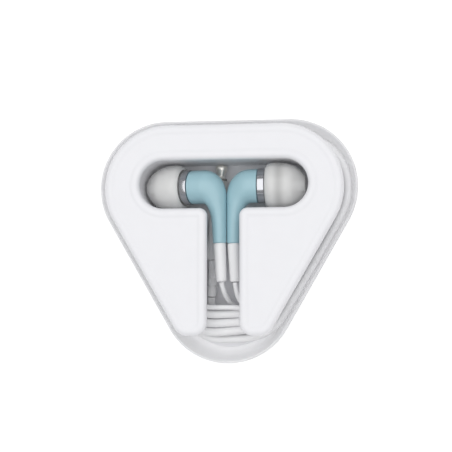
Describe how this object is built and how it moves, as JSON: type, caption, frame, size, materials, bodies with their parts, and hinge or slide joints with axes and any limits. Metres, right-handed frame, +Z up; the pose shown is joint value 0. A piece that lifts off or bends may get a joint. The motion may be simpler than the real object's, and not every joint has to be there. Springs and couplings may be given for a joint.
{
  "type": "wired earphones in a winder case",
  "caption": "Wired in-ear earphones with silicone tips, cord and plug, wound on the reel of a rounded three-cornered carrying case.",
  "frame": {"origin": "on the table, under the middle of the case's outline", "axes": "+X along the row of the two earbuds, +Y away from the mouth of the slot, +Z up out of the case"},
  "size_m": [0.07, 0.0654, 0.019],
  "materials": {
    "frosted_dish": "frosted translucent plastic",
    "white_shell": "satin moulded plastic",
    "blue_shell": "satin moulded plastic",
    "bright_ring": "polished",
    "silicone": "translucent matt silicone",
    "cord_jacket": "matt elastomer",
    "white_rubber": "matt elastomer",
    "plug_metal": "polished plating",
    "insulator": "gloss",
    "dark_plastic": "matt",
    "steel_mesh": "woven",
    "magnet": "nickel plated",
    "copper_coil": "enamelled wire",
    "film": "thin polymer film"
  },
  "bodies": {
    "base": {"case_base": "frosted_dish"},
    "reel": {"reel_hub": "white_shell", "reel_plate": "white_shell", "cord_winding": "cord_jacket", "branch_winding": "cord_jacket", "y_split": "white_rubber", "left_branch_cord": "cord_jacket", "right_branch_cord": "cord_jacket", "plug_lead": "cord_jacket", "plug_tip_contact": "plug_metal", "plug_front_insulator": "insulator", "plug_ring_contact": "plug_metal", "plug_rear_insulator": "insulator", "plug_sleeve_contact": "plug_metal", "plug_body": "white_rubber", "plug_strain_relief": "white_rubber"},
    "right_earbud": {"right_housing": "blue_shell", "right_trim_ring": "bright_ring", "right_nozzle": "dark_plastic", "right_acoustic_mesh": "steel_mesh", "right_driver_frame": "dark_plastic", "right_driver_magnet": "magnet", "right_voice_coil": "copper_coil", "right_diaphragm": "film", "right_strain_relief": "white_rubber"},
    "left_earbud": {"left_housing": "blue_shell", "left_trim_ring": "bright_ring", "left_nozzle": "dark_plastic", "left_acoustic_mesh": "steel_mesh", "left_driver_frame": "dark_plastic", "left_driver_magnet": "magnet", "left_voice_coil": "copper_coil", "left_diaphragm": "film", "left_strain_relief": "white_rubber"},
    "right_tip": {"right_ear_tip": "silicone"},
    "left_tip": {"left_ear_tip": "silicone"}
  },
  "joints": [
    {"name": "reel_lift", "type": "slide", "parent": "base", "child": "reel", "axis": [0, 0, 1], "range_m": [0, 0.02]},
    {"name": "right_earbud_lift", "type": "slide", "parent": "reel", "child": "right_earbud", "axis": [0, 0, 1], "range_m": [0, 0.018]},
    {"name": "left_earbud_lift", "type": "slide", "parent": "reel", "child": "left_earbud", "axis": [0, 0, 1], "range_m": [0, 0.018]},
    {"name": "right_tip_turn", "type": "hinge", "parent": "right_earbud", "child": "right_tip", "pos_m": [0.0125, 0.0144, 0.0118], "axis": [1, 0, 0], "continuous": true},
    {"name": "left_tip_turn", "type": "hinge", "parent": "left_earbud", "child": "left_tip", "pos_m": [-0.01187, 0.0144, 0.01001], "axis": [-0.9659, 0, -0.2588], "continuous": true}
  ]
}
